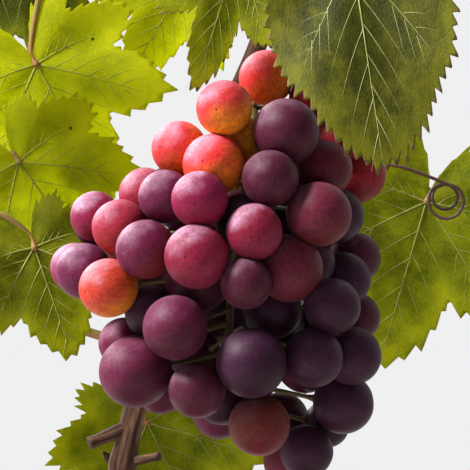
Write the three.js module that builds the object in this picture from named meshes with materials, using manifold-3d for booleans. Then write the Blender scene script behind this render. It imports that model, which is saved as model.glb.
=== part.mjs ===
// A patio grapevine in a plain terracotta pot, with one ripening bunch.
// Millimetres, +Z up, origin at the centre of the pot's base. The bunch hangs on the -Y side.

import * as THREE from "three";
import { mergeVertices } from "three/addons/utils/BufferGeometryUtils.js";
import Module from "manifold-3d";

const wasm = await Module();
wasm.setup();

// ---- driving dimensions ----
const potHeight = 260;
const potTopRadius = 134;
const potBaseRadius = 98;
const potWall = 9;
const potFloor = 14;
const rimHeight = 40;
const rimStandOut = 7;
const drainHoles = 4;
const drainHoleRadius = 8;
const drainHoleCircle = 52;
const soilBelowRim = 28;

const trunkRadius = 9;
const trunkTipRadius = 2.2;
const trunkTaper = 0.6;
const rootDepth = 60;

const bladeThickness = 0.8;
const petioleRadius = 1.25;
const tendrilRadius = 0.8;

const bunchWidth = 112;
const bunchHeight = 144;
const bunchDepth = 84;
const berryScale = 1;
const berrySqueeze = 1.6;
const berriesPerSprig = 5;
const sprigHold = 0.6;
const farSideBulge = 0.55;
const rachisRadius = 1.9;
const peduncleShare = 0.24;
const pedicelRadius = 0.9;
const pedicelRise = 8;

const roundSteps = 28;
const facetAllowance = 1.03;
const seatGap = 0.3;
const skinGap = 0.4;

const soilTop = potHeight - soilBelowRim;

// ---- colours ----
const terracotta = { color: 0xb5653f, roughness: 0.85, metalness: 0 };
const pottingSoil = { color: 0x2e221a, roughness: 0.95, metalness: 0 };
const bark = { color: 0x5a4032, roughness: 0.9, metalness: 0 };
const greenWood = { color: 0x7d6a3a, roughness: 0.7, metalness: 0 };
const leafGreen = { color: 0x5c6420, roughness: 0.6, metalness: 0 };
const berrySkin = { color: 0x4a2540, roughness: 0.4, metalness: 0 };

const vine = new THREE.Group();
const plant = new THREE.Group();
plant.position.z = soilTop;
vine.add(plant);

// ---- solids and meshes ----
function solid(geometry) {
  const bare = geometry.index ? geometry.toNonIndexed() : geometry.clone();
  bare.deleteAttribute("normal");
  bare.deleteAttribute("uv");
  const merged = mergeVertices(bare, 1e-4);
  const corners = merged.index.array;
  const kept = [];
  for (let i = 0; i < corners.length; i += 3) {
    const [a, b, c] = corners.slice(i, i + 3);
    if (a !== b && b !== c && c !== a) kept.push(a, b, c);
  }
  return new wasm.Manifold(new wasm.Mesh({
    numProp: 3,
    vertProperties: new Float32Array(merged.attributes.position.array),
    triVerts: new Uint32Array(kept),
  }));
}

function largestBody(body) {
  const bodies = body.decompose();
  return bodies.reduce((best, next) => (next.volume() > best.volume() ? next : best));
}

function addNode(group, name, body, finish) {
  const mesh = body.getMesh();
  const geometry = new THREE.BufferGeometry();
  geometry.setAttribute("position", new THREE.BufferAttribute(mesh.vertProperties, 3));
  geometry.setIndex(new THREE.BufferAttribute(mesh.triVerts, 1));
  geometry.computeVertexNormals();
  const node = new THREE.Mesh(geometry, new THREE.MeshStandardMaterial(finish));
  node.name = name;
  group.add(node);
}

const point = ([across, back, up]) => new THREE.Vector3(across, back, up);

// A round stem bent along a smooth curve, thick at its start and thin at its end.
function makeStem(points, startRadius, endRadius, taper = 1) {
  const curve = new THREE.CatmullRomCurve3(points, false, "centripetal");
  const radiusAt = (share) => startRadius + (endRadius - startRadius) * share ** taper;
  return { curve, radiusAt };
}

function stemSolid(stem, sides, steps) {
  const geometry = new THREE.CylinderGeometry(1, 1, 1, sides, steps);
  const frames = stem.curve.computeFrenetFrames(steps);
  const spots = geometry.attributes.position;
  for (let i = 0; i < spots.count; i += 1) {
    const share = spots.getY(i) + 0.5;
    const step = Math.round(share * steps);
    const radius = stem.radiusAt(share);
    const place = stem.curve.getPointAt(step / steps)
      .addScaledVector(frames.binormals[step], spots.getX(i) * radius)
      .addScaledVector(frames.normals[step], spots.getZ(i) * radius);
    spots.setXYZ(i, place.x, place.y, place.z);
  }
  return solid(geometry);
}

// Where a side shoot or leaf stalk stands on a stem's skin, square to the stem and facing a target.
function budOn(stem, share, target) {
  const centre = stem.curve.getPointAt(share);
  const along = stem.curve.getTangentAt(share);
  const out = target.clone().sub(centre);
  out.addScaledVector(along, -out.dot(along)).normalize();
  const seat = centre.addScaledVector(out, stem.radiusAt(share) + seatGap);
  return { seat, out };
}

function stemFrom(parent, share, points, startRadius, endRadius) {
  const { seat, out } = budOn(parent, share, points[0]);
  const root = seat.clone().addScaledVector(out, 2.5 * startRadius);
  return makeStem([seat, root, ...points], startRadius, endRadius);
}

// ---- pot ----
const drop = potHeight - rimHeight;
const innerRadius = (height) => {
  const share = height / potHeight;
  return potBaseRadius + (potTopRadius - potBaseRadius) * share - potWall;
};
const outerRadius = (height) => innerRadius(height) + potWall;

function makePot() {
  const profile = [
    [0, 0],
    [potBaseRadius - 3, 0],
    [potBaseRadius, 3],
    [outerRadius(drop), drop],
    [outerRadius(drop) + rimStandOut - 2, drop],
    [outerRadius(drop) + rimStandOut, drop + 3],
    [potTopRadius + rimStandOut, potHeight - 3],
    [potTopRadius + rimStandOut - 3, potHeight],
    [innerRadius(potHeight) + 2, potHeight],
    [innerRadius(potHeight), potHeight - 2],
    [innerRadius(potFloor), potFloor],
    [0, potFloor],
  ].map(([radius, height]) => new THREE.Vector2(radius, height));
  let pot = solid(new THREE.LatheGeometry(profile, roundSteps).rotateX(Math.PI / 2));
  for (let i = 0; i < drainHoles; i += 1) {
    const turn = (i * 2 * Math.PI) / drainHoles;
    const hole = new THREE.CylinderGeometry(drainHoleRadius, drainHoleRadius, 3 * potFloor, 10)
      .rotateX(Math.PI / 2)
      .translate(drainHoleCircle * Math.cos(turn), drainHoleCircle * Math.sin(turn), potFloor / 2);
    pot = pot.subtract(solid(hole));
  }
  return pot;
}
addNode(vine, "pot", makePot(), terracotta);

// ---- soil, with the hole that the root ball of the trunk fills ----
function makeSoil() {
  const bottom = potFloor + seatGap;
  const profile = [
    [0, bottom],
    [innerRadius(bottom) - skinGap - 1, bottom],
    [innerRadius(soilTop - 4) - skinGap - 1, soilTop - 4],
    [innerRadius(soilTop) * 0.6, soilTop],
    [0, soilTop],
  ].map(([radius, height]) => new THREE.Vector2(radius, height));
  const heap = solid(new THREE.LatheGeometry(profile, roundSteps).rotateX(Math.PI / 2));
  const holeDepth = rootDepth + seatGap;
  const hole = new THREE.CylinderGeometry(trunkRadius + skinGap, trunkRadius + skinGap, 2 * holeDepth, 20)
    .rotateX(Math.PI / 2)
    .translate(0, 0, soilTop);
  return heap.subtract(solid(hole));
}
addNode(vine, "soil", makeSoil(), pottingSoil);

// ---- woody trunk, running up into last year's cane (heights from here on are above the soil) ----
const trunk = makeStem([
  [0, 0, -rootDepth], [0, 0, -0.5 * rootDepth], [0, 0, 4], [-3, -1, 50], [-10, -2, 110], [-16, 2, 175],
  [-13, 6, 225], [-7, 8, 258], [3, 9, 290], [14, 9, 322], [24, 9, 353], [33, 9, 384],
  [43, 8, 408], [52, 6, 440], [60, 2, 500], [75, 0, 560], [90, 5, 620], [98, 10, 668],
].map(point), trunkRadius, trunkTipRadius, trunkTaper);

function makeTrunk() {
  const spurs = [
    { share: 0.425, end: [-24, 2, 248], radius: 2.4 },
    { share: 0.405, end: [4, 0, 243], radius: 1.6 },
    { share: 0.3, end: [-30, 6, 176], radius: 2.6 },
  ];
  let wood = stemSolid(trunk, 9, 36);
  for (const { share, end, radius } of spurs) {
    const spur = makeStem([trunk.curve.getPointAt(share), point(end)], radius * 1.2, radius);
    wood = wood.add(stemSolid(spur, 6, 2));
  }
  return wood;
}
addNode(plant, "trunk", makeTrunk(), bark);

// ---- side shoots of this year ----
const shoots = {
  shoot_right: stemFrom(trunk, 0.697, [
    [72, -3, 462], [96, -12, 482], [128, -15, 505], [168, -10, 535], [205, 0, 572], [232, 6, 618],
  ].map(point), 2.6, 1.4),
  shoot_left_high: stemFrom(trunk, 0.715, [
    [26, 18, 480], [-14, 26, 488], [-64, 28, 492], [-112, 24, 508], [-150, 18, 540], [-176, 14, 584],
  ].map(point), 2.4, 1.3),
  shoot_left_low: stemFrom(trunk, 0.46, [
    [-12, 22, 288], [-34, 28, 296], [-78, 30, 318], [-118, 26, 354], [-146, 20, 402], [-160, 16, 450],
  ].map(point), 2.1, 1.1),
};
for (const [name, shoot] of Object.entries(shoots)) {
  addNode(plant, name, stemSolid(shoot, 7, 18), greenWood);
}
const stems = { trunk, ...shoots };

// ---- tendrils, each ending in a loose curl ----
function tendrilPoints(route, curlRadius, turns) {
  const start = point(route[route.length - 1]);
  const curl = [];
  for (let i = 1; i <= turns * 8; i += 1) {
    const angle = (i * Math.PI) / 4;
    const radius = curlRadius * (1 - i / (turns * 16));
    const step = new THREE.Vector3(radius * Math.sin(angle), i * 0.7, radius * (Math.cos(angle) - 1));
    curl.push(start.clone().add(step));
  }
  return [...route.map(point), ...curl];
}
const tendrilRoute = [[62, 8, 386], [78, 6, 372], [92, 3, 361], [103, 1, 358], [118, 0, 352]];
const tendrils = {
  tendril_right: stemFrom(trunk, 0.625, tendrilPoints(tendrilRoute, 8, 2), tendrilRadius, 0.6),
};
for (const [name, tendril] of Object.entries(tendrils)) {
  addNode(plant, name, stemSolid(tendril, 5, 32), greenWood);
}

// ---- leaves: a thin blade whose rim is drawn out into lobes, with its own stalk ----
// A lobe is a pointed arch about its own axis; a leaf reaches as far as its longest lobe there.
const lobes = [
  { axis: 0, reach: 1.0 },
  { axis: 50, reach: 0.86 },
  { axis: 95, reach: 0.7 },
  { axis: 140, reach: 0.52 },
];
const lobeSpread = 26;
const bladeSpokes = 20;

function bladeReach(degrees, sinus) {
  const away = Math.abs(degrees);
  const reaches = lobes.map(({ axis, reach }) => {
    const off = Math.abs(away - axis) / lobeSpread;
    return reach * (1 - sinus * off ** 1.25);
  });
  const notch = Math.min(1, (180 - away) / 26 + 0.22);
  return Math.max(0.2, ...reaches) * notch;
}

function makeLeaf({ on, at, route, base, tip, face, sinus, cup, fold, spread = 1 }) {
  const root = point(base);
  const along = point(tip).sub(root);
  const length = along.length();
  along.normalize();
  const side = new THREE.Vector3().crossVectors(along, point(face)).normalize();
  const normal = new THREE.Vector3().crossVectors(side, along);

  const rims = [[0, 1], [1, 1], [1, -1], [0, -1]]
    .map(([radius, layer]) => new THREE.Vector2(radius, layer));
  const blade = new THREE.LatheGeometry(rims, bladeSpokes);
  const spots = blade.attributes.position;
  for (let i = 0; i < spots.count; i += 1) {
    const turn = Math.atan2(spots.getX(i), spots.getZ(i));
    const spoke = Math.hypot(spots.getX(i), spots.getZ(i));
    const reach = spoke * bladeReach(THREE.MathUtils.radToDeg(turn), sinus);
    const u = reach * Math.sin(turn) * spread;
    const v = reach * Math.cos(turn);
    const lift = fold * Math.abs(u) - cup * (u * u + v * v) + 0.05 * reach * Math.sin(5 * turn);
    const place = root.clone()
      .addScaledVector(side, u * length)
      .addScaledVector(along, v * length)
      .addScaledVector(normal, lift * length + (spots.getY(i) * bladeThickness) / 2);
    spots.setXYZ(i, place.x, place.y, place.z);
  }
  const entry = root.clone().addScaledVector(along, -5).addScaledVector(normal, -1);
  const way = [...route.map(point), entry, root.clone().addScaledVector(along, 1)];
  const stalk = stemFrom(stems[on], at, way, petioleRadius * 1.15, petioleRadius);
  return solid(blade).add(stemSolid(stalk, 5, 7));
}

// on and at: the stem and the share of its length where the stalk stands. route: the stalk's way.
// face: the way the upper side looks. sinus: how deep the lobes are cut. spread: the blade's width
// beside its length, where it isn't as wide as usual.
const leaves = {
  leaf_front_right: { on: "shoot_right", at: 0.13, route: [[82, -48, 468], [79, -82, 450]],
    base: [78, -89, 429], tip: [88, -118, 350], face: [0, -1, -0.2], sinus: 0.1, cup: 0.06, fold: 0.06,
    spread: 0.56 },
  leaf_front_top: { on: "trunk", at: 0.69, route: [[42, -36, 462], [37, -66, 452]],
    base: [35, -76, 434], tip: [19, -92, 380], face: [0, -1, -0.3], sinus: 0.45, cup: 0.05, fold: 0.1,
    spread: 0.62 },
  leaf_back_left: { on: "shoot_left_high", at: 0.36, route: [[-44, 42, 450]],
    base: [-48, 40, 404], tip: [-17, 32, 345], face: [0.1, -1, 0.1], sinus: 0.42, cup: -0.05, fold: 0.08 },
  leaf_top_left: { on: "shoot_left_high", at: 0.17, route: [[12, 48, 466]],
    base: [14, 52, 442], tip: [-10, 50, 400], face: [0.1, -1, 0.1], sinus: 0.4, cup: 0.04, fold: 0.08 },
  leaf_corner_left: { on: "shoot_left_high", at: 0.5, route: [[-66, 52, 478]],
    base: [-58, 72, 456], tip: [-30, 74, 402], face: [0.1, -1, 0.1], sinus: 0.36, cup: 0.04, fold: 0.08 },
  leaf_side_left: { on: "shoot_left_low", at: 0.42, route: [[-64, 26, 350]],
    base: [-54, 21, 362], tip: [-20, 20, 316], face: [0.1, -1, 0.1], sinus: 0.32, cup: 0.05, fold: 0.08 },
  leaf_low_left: { on: "shoot_left_low", at: 0.47, route: [[-82, 6, 332], [-62, -3, 340]],
    base: [-46, -3, 326], tip: [-30, -8, 282], face: [0.1, -1, 0.1], sinus: 0.32, cup: 0.05, fold: 0.08 },
  leaf_back_right: { on: "trunk", at: 0.535, route: [[56, 26, 344], [94, 28, 356]],
    base: [112, 26, 346], tip: [92, 22, 278], face: [0, -1, 0.1], sinus: 0.36, cup: 0.05, fold: 0.08 },
  leaf_low_front: { on: "trunk", at: 0.445, route: [[-4, 26, 268]],
    base: [-2, 34, 256], tip: [26, 32, 200], face: [0, -1, 0.2], sinus: 0.34, cup: 0.05, fold: 0.08 },
  leaf_right_middle: { on: "shoot_right", at: 0.47, route: [[150, -40, 508]],
    base: [154, -62, 486], tip: [176, -84, 412], face: [0.2, -1, 0.3], sinus: 0.36, cup: 0.1, fold: 0.12 },
  leaf_right_far: { on: "shoot_right", at: 0.74, route: [[206, 24, 544]],
    base: [214, 36, 526], tip: [236, 56, 462], face: [0.6, -0.3, 0.8], sinus: 0.38, cup: 0.12, fold: 0.1 },
  leaf_right_end: { on: "shoot_right", at: 0.96, route: [[226, -16, 636]],
    base: [222, -30, 634], tip: [204, -74, 604], face: [0, -0.7, 1], sinus: 0.4, cup: 0.12, fold: 0.14 },
  leaf_top_front: { on: "trunk", at: 0.81, route: [[70, -34, 540]],
    base: [68, -48, 528], tip: [58, -84, 468], face: [0, -1, 0.5], sinus: 0.34, cup: 0.1, fold: 0.12 },
  leaf_top_back: { on: "trunk", at: 0.77, route: [[60, 44, 520]],
    base: [58, 62, 508], tip: [44, 96, 440], face: [0, 1, 0.4], sinus: 0.36, cup: 0.1, fold: 0.1 },
  leaf_top_young: { on: "trunk", at: 0.985, route: [[86, -6, 676]],
    base: [80, -10, 678], tip: [58, -30, 664], face: [-0.3, -0.5, 1], sinus: 0.42, cup: 0.1, fold: 0.2 },
  leaf_left_middle: { on: "shoot_left_high", at: 0.66, route: [[-112, -10, 508]],
    base: [-114, -30, 494], tip: [-124, -58, 426], face: [-0.2, -1, 0.3], sinus: 0.36, cup: 0.1, fold: 0.12 },
  leaf_left_end: { on: "shoot_left_high", at: 0.95, route: [[-186, 34, 590]],
    base: [-190, 44, 580], tip: [-206, 78, 534], face: [-0.5, 0.5, 0.8], sinus: 0.4, cup: 0.12, fold: 0.12 },
  leaf_left_low: { on: "shoot_left_low", at: 0.62, route: [[-116, 0, 352]],
    base: [-118, -14, 340], tip: [-128, -36, 278], face: [-0.1, -1, 0.3], sinus: 0.34, cup: 0.08, fold: 0.1 },
  leaf_left_outer: { on: "shoot_left_low", at: 0.93, route: [[-170, 4, 446]],
    base: [-176, -4, 438], tip: [-196, -22, 386], face: [-0.4, -1, 0.3], sinus: 0.38, cup: 0.1, fold: 0.1 },
};
for (const [name, leaf] of Object.entries(leaves)) {
  addNode(plant, name, makeLeaf(leaf), leafGreen);
}

// ---- the bunch: places are across and up from its centre, then the berry's size ----
// Berries seen from the front, the nearest first. Each is pushed back until it clears those before it.
const frontBerries = [
  [-12, 1, 24], [9, 10, 21], [6, -9, 19], [-12, -7, 24], [-20, -25, 24], [-35, -41, 27], [-45, -10, 22],
  [-31, 4, 22], [-41, 13, 21], [-11, 22, 21], [-24, 24, 20], [-6, 36, 23], [15, 30, 21], [21, 48, 25],
  [-2, 57, 21], [14, 71, 21], [22, -3, 25], [33, 17, 24], [8, -38, 26], [-12, -48, 21], [31, -36, 22],
  [38, -17, 21], [11, -61, 23], [43, -53, 23], [30, 0, 19], [43, -6, 21], [46, -35, 22], [29, -71, 20],
  [35, 35, 22], [44, 49, 19], [49, 35, 22], [-19, 43, 21], [-32, 26, 20], [-51, 18, 19], [-55, -3, 21],
  [5, 15, 21], [-2, -16, 20], [16, -18, 22], [-29, -19, 20], [-3, -51, 20], [-26, -48, 18],
  [-40, -30, 19], [48, 3, 20], [48, -20, 19], [40, 18, 21], [-4, -56, 21], [23, -75, 20], [37, -61, 18],
  [-23, 28, 20], [-33, 29, 19], [-51, 16, 18], [-59, -1, 19], [32, 63, 19], [35, 48, 17], [5, 46, 18],
  [25, 28, 17],
];
// Berries of the far side, dropped towards the front until they rest on what is there.
const backBerries = [
  [27, 55, 20], [-3, 40, 24], [18, 36, 23], [37, 40, 20], [-20, 26, 22], [0, 22, 24], [22, 18, 23],
  [38, 20, 20], [-38, 10, 22], [-18, 6, 24], [4, 1, 24], [26, -2, 23], [42, 2, 20], [-44, -9, 20],
  [-27, -13, 24], [-5, -18, 24], [17, -21, 24], [37, -18, 22], [-33, -31, 20], [-14, -36, 23],
  [8, -41, 23], [29, -38, 22], [0, -56, 20], [20, -59, 21],
];
const bunchCentre = point([32, -62, 317]);
const inBunch = (place) => bunchCentre.clone().addScaledVector(place, berryScale);
const squeeze = berrySqueeze * berryScale;

// The stalk arches over from the cane, then hangs down the middle of the bunch.
const arch = [[38, -16, 386], [41, -36, 380], [40, -52, 364]].map(point);
const hanging = [[5, 2, 21], [1, 2, -5], [0, 2, -33], [4, 2, -61]].map(point).map(inBunch);
const rachis = stemFrom(trunk, 0.605, [...arch, ...hanging], rachisRadius * 1.2, rachisRadius * 0.7);

// Room for the stalk below its bare top, as a string of beads that berries keep clear of.
function rachisRoom() {
  const steps = 19;
  const radius = (rachisRadius + seatGap + 0.5) * berryScale + squeeze;
  return [...Array(steps + 1).keys()].map((i) => {
    const place = rachis.curve.getPointAt(peduncleShare + ((1 - peduncleShare) * i) / steps);
    return { place, radius, isBead: true };
  });
}

function placeBerries() {
  const berries = [];
  const placed = rachisRoom();
  const settle = (rows, toward, behindAll) => {
    for (const [across, up, size] of rows) {
      const radius = (size / 2) * berryScale;
      const bulge = 1 - (across / (bunchWidth / 2)) ** 2 - (up / (bunchHeight / 2)) ** 2;
      const skin = toward * (bunchDepth / 2) * Math.sqrt(Math.max(0, bulge));
      const place = inBunch(point([across, skin, up]));
      let blocked = true;
      while (blocked) {
        blocked = false;
        for (const other of placed) {
          const aside = Math.hypot(place.x - other.place.x, place.z - other.place.z);
          const reach = radius + other.radius - squeeze;
          const stand = Math.sqrt(Math.max(0, reach ** 2 - aside ** 2));
          const between = place.y - other.place.y;
          const covers = aside < 0.7 * reach;
          const inFront = behindAll && !other.isBead && between < 0 && covers;
          if (inFront || Math.abs(between) < stand - 1e-6) {
            place.y = other.place.y + stand;
            blocked = true;
          }
        }
      }
      const berry = { place, radius };
      placed.push(berry);
      berries.push(berry);
    }
  };
  settle(frontBerries, -1, true);
  settle(backBerries, farSideBulge, false);
  return berries;
}

// Touching berries of one side stem are gathered, nearest contacts first.
function gatherSprigs(berries) {
  const free = new Set(berries);
  const overlap = (a, b) => a.radius + b.radius - a.place.distanceTo(b.place);
  const sprigs = [];
  for (const first of berries) {
    if (!free.delete(first)) continue;
    const sprig = [first];
    while (sprig.length < berriesPerSprig) {
      const next = [...free]
        .map((berry) => ({ berry, hold: Math.max(...sprig.map((held) => overlap(held, berry))) }))
        .filter(({ hold }) => hold > sprigHold * squeeze)
        .sort((a, b) => b.hold - a.hold)[0];
      if (!next) break;
      free.delete(next.berry);
      sprig.push(next.berry);
    }
    sprigs.push(sprig);
  }
  return sprigs;
}

// A berry's skin, pressed flat against every neighbour that isn't of its own sprig.
function berrySolid(berry, pressing) {
  const geometry = new THREE.IcosahedronGeometry(berry.radius * facetAllowance, 1);
  const spots = geometry.attributes.position;
  const flats = pressing.map((other) => {
    const towards = other.place.clone().sub(berry.place);
    const distance = towards.length();
    const middle = (distance + berry.radius - other.radius) / 2;
    return { towards: towards.normalize(), reach: middle - skinGap / 2 };
  });
  for (let i = 0; i < spots.count; i += 1) {
    const spot = new THREE.Vector3().fromBufferAttribute(spots, i);
    for (const { towards, reach } of flats) {
      const out = spot.dot(towards);
      if (out > reach) spot.multiplyScalar(reach / out);
    }
    spot.add(berry.place);
    spots.setXYZ(i, spot.x, spot.y, spot.z);
  }
  return solid(geometry);
}

const berries = placeBerries();
const sprigs = gatherSprigs(berries);
sprigs.forEach((sprig, number) => {
  const others = berries.filter((berry) => !sprig.includes(berry));
  const body = sprig
    .map((berry) => {
      const near = (other) => other.place.distanceTo(berry.place) < (berry.radius + other.radius) * 1.1;
      return berrySolid(berry, others.filter(near));
    })
    .reduce((whole, next) => whole.add(next));
  addNode(plant, `berries_${String(number + 1).padStart(2, "0")}`, body, berrySkin);
});

// ---- the bunch's stalk, with a pedicel to every berry that it reaches without passing through another ----
function pedicelStart(berry) {
  const steps = Math.round((1 - peduncleShare) * 100);
  const spots = [...Array(steps + 1).keys()].map((i) => rachis.curve.getPointAt(peduncleShare + i / 100));
  const reach = (spot) => spot.distanceTo(berry.place) + Math.abs(spot.z - berry.place.z - pedicelRise);
  return spots.reduce((best, next) => (reach(next) < reach(best) ? next : best));
}

function makeRachis() {
  let stalk = stemSolid(rachis, 6, 22);
  for (const berry of berries) {
    const start = pedicelStart(berry);
    const way = berry.place.clone().sub(start);
    const length = way.length() - berry.radius * facetAllowance - seatGap;
    way.normalize();
    const clear = berries.every((other) => {
      if (other === berry) return true;
      const along = Math.min(Math.max(other.place.clone().sub(start).dot(way), 0), length);
      const closest = start.clone().addScaledVector(way, along);
      return closest.distanceTo(other.place) > other.radius * facetAllowance + pedicelRadius + seatGap;
    });
    if (!clear || length < 2 * rachisRadius) continue;
    const end = start.clone().addScaledVector(way, length);
    const middle = start.clone().lerp(end, 0.5);
    stalk = stalk.add(stemSolid(makeStem([start, middle, end], pedicelRadius, pedicelRadius), 4, 1));
  }
  return largestBody(stalk);
}
addNode(plant, "rachis", makeRachis(), greenWood);

export default vine;
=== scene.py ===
"""A patio grapevine in a terracotta pot, with one bunch of ripening grapes. Metres, +Z up."""

import math
import random

import bmesh
import bpy
from mathutils import Matrix, Vector, noise


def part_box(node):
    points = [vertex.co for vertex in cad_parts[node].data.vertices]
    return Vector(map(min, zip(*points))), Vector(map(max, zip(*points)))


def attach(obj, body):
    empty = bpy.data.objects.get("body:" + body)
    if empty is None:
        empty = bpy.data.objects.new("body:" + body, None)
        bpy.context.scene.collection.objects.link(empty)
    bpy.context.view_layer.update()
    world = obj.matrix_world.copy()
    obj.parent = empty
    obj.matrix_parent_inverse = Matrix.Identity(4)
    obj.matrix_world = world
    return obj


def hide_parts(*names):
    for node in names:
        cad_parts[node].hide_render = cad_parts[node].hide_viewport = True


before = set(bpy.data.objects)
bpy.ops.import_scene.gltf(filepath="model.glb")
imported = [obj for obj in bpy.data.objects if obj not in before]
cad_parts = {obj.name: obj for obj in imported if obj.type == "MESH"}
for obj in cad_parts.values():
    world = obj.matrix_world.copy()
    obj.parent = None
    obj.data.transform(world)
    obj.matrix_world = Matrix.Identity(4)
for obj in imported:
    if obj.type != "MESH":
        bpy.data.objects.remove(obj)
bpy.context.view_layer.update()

# ---- Pot ----
# A thrown terracotta pot with a thick rim and four drain holes, fired but left unglazed.
# Water and lime have worked through the wall, so it carries pale bloom and darker damp patches.
pot_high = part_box("pot")[1]
POT_HEIGHT = pot_high.z
RIM_RADIUS = pot_high.x
RIM_HEIGHT = 0.040
RIM_STAND_OUT = 0.007
POT_WALL = 0.009
POT_FLOOR = 0.014
POT_BASE_RADIUS = 0.098
POT_TURN_STEPS = 112
DRAIN_HOLES = 4
DRAIN_HOLE_RADIUS = 0.008
DRAIN_HOLE_CIRCLE = 0.052
RIM_ROUNDING = 0.0022
CLAY_CLOUD = 0.0714
CLAY_GRIT = 0.0009
LIME_PATCH = 0.0385
LIME_HEIGHT = 0.16
THROWING_RING = 0.007


def linear(colour):
    """A hex colour as the eye sees it, turned to the linear values that light is worked out in."""
    parts = [int(colour[i:i + 2], 16) / 255 for i in (1, 3, 5)]
    return (*[c / 12.92 if c <= 0.04045 else ((c + 0.055) / 1.055) ** 2.4 for c in parts], 1.0)


def add(tree, kind, inputs=None, stops=None, **settings):
    """Adds one node with its settings. An input takes a value or the output that feeds it."""
    node = tree.nodes.new("ShaderNode" + kind)
    for name, value in settings.items():
        setattr(node, name, value)
    for name, value in (inputs or {}).items():
        if isinstance(value, bpy.types.NodeSocket):
            tree.links.new(value, node.inputs[name])
        else:
            node.inputs[name].default_value = value
    if stops:
        points = node.color_ramp.elements
        while len(points) < len(stops):
            points.new(0.5)
        for point, (place, colour) in zip(points, stops):
            point.position = place
            point.color = linear(colour)
    return node


def new_material(name):
    """An empty material and the output that its surface goes to."""
    material = bpy.data.materials.new(name)
    material.use_nodes = True
    tree = material.node_tree
    tree.nodes.clear()
    return material, tree, tree.nodes.new("ShaderNodeOutputMaterial")


def place_piece(bm, name, materials, slot, *nodes):
    """Turns a finished bmesh into a smooth piece that stands for its CAD nodes."""
    mesh = bpy.data.meshes.new(name)
    bm.to_mesh(mesh)
    bm.free()
    piece = bpy.data.objects.new(name, mesh)
    bpy.context.scene.collection.objects.link(piece)
    for material in materials:
        mesh.materials.append(material)
    mesh.polygons.foreach_set("use_smooth", [True] * len(mesh.polygons))
    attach(piece, "root")
    if nodes:
        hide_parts(*nodes)
    return piece


def fired_terracotta():
    """Unglazed earthenware: dull orange-brown, gritty, with lime bloom and faint throwing rings."""
    material, tree, out = new_material("fired terracotta")
    place = add(tree, "TexCoord").outputs["Object"]
    cloud = add(tree, "TexNoise", {"Vector": place, "Scale": 1 / CLAY_CLOUD, "Detail": 5.0,
                                    "Roughness": 0.6})
    body = add(tree, "ValToRGB", {"Fac": cloud.outputs["Fac"]},
               [(0.3, "#8A4A30"), (0.5, "#A65E3E"), (0.72, "#BA7650")])
    lime = add(tree, "TexNoise", {"Vector": place, "Scale": 1 / LIME_PATCH, "Detail": 8.0,
                                   "Roughness": 0.72})
    height = add(tree, "SeparateXYZ", {"Vector": place}).outputs["Z"]
    low_wall = add(tree, "MapRange", {"Value": height, "From Min": 0.0, "From Max": LIME_HEIGHT,
                                      "To Min": 0.10, "To Max": -0.06})
    lime_share = add(tree, "Math", {0: lime.outputs["Fac"], 1: low_wall.outputs[0]}, operation="ADD")
    lime_mask = add(tree, "MapRange", {"Value": lime_share.outputs[0], "From Min": 0.56, "From Max": 0.74,
                                       "To Max": 0.62})
    limed = add(tree, "Mix", {0: lime_mask.outputs[0], 6: body.outputs[0], 7: linear("#D9C0A6")},
                data_type="RGBA")
    grit = add(tree, "TexNoise", {"Vector": place, "Scale": 1 / CLAY_GRIT, "Detail": 2.0})
    grit_tone = add(tree, "MapRange", {"Value": grit.outputs["Fac"], "From Min": 0.3, "From Max": 0.7,
                                       "To Min": 0.86, "To Max": 1.1})
    colour = add(tree, "Mix", {0: 1.0, 6: limed.outputs[2], 7: grit_tone.outputs[0]},
                 data_type="RGBA", blend_type="MULTIPLY")
    rings = add(tree, "Mapping", {"Vector": place, "Scale": (6.0, 6.0, 1 / THROWING_RING)})
    ring_noise = add(tree, "TexNoise", {"Vector": rings.outputs[0], "Scale": 1.0, "Detail": 2.0})
    relief = add(tree, "Math", {0: ring_noise.outputs["Fac"], 1: grit.outputs["Fac"]}, operation="ADD")
    bump = add(tree, "Bump", {"Height": relief.outputs[0], "Strength": 0.45, "Distance": 0.0007})
    rough = add(tree, "MapRange", {"Value": cloud.outputs["Fac"], "To Min": 0.78, "To Max": 0.95})
    shader = add(tree, "BsdfPrincipled", {"Base Color": colour.outputs[2], "Roughness": rough.outputs[0],
                                          "Normal": bump.outputs[0], "Specular IOR Level": 0.3})
    tree.links.new(shader.outputs[0], out.inputs["Surface"])
    return material


def turn_profile(bm, profile, steps):
    """Spins a profile of (radius, height) points round the Z axis into a closed turned shape."""
    points = [bm.verts.new((radius, 0.0, height)) for radius, height in profile]
    edges = [bm.edges.new(pair) for pair in zip(points, points[1:])]
    bmesh.ops.spin(bm, geom=points + edges, cent=(0, 0, 0), axis=(0, 0, 1), angle=2 * math.pi,
                   steps=steps, use_merge=True)
    bmesh.ops.remove_doubles(bm, verts=bm.verts[:], dist=1e-6)
    bmesh.ops.recalc_face_normals(bm, faces=bm.faces[:])


def soften_turned_edges(bm, width, segments, sharper_than=0.4):
    """Rounds the hoops of a turned shape where its profile has a corner."""
    hoops = [e for e in bm.edges
             if len(e.link_faces) == 2 and abs(e.verts[0].co.z - e.verts[1].co.z) < 1e-6
             and abs(e.calc_face_angle(0.0)) > sharper_than]
    bmesh.ops.bevel(bm, geom=hoops, offset=width, segments=segments, profile=0.5,
                    affect="EDGES", material=-1)


def pot_radius(height):
    """Outer radius of the pot's plain wall."""
    top = RIM_RADIUS - RIM_STAND_OUT
    return POT_BASE_RADIUS + (top - POT_BASE_RADIUS) * height / POT_HEIGHT


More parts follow.
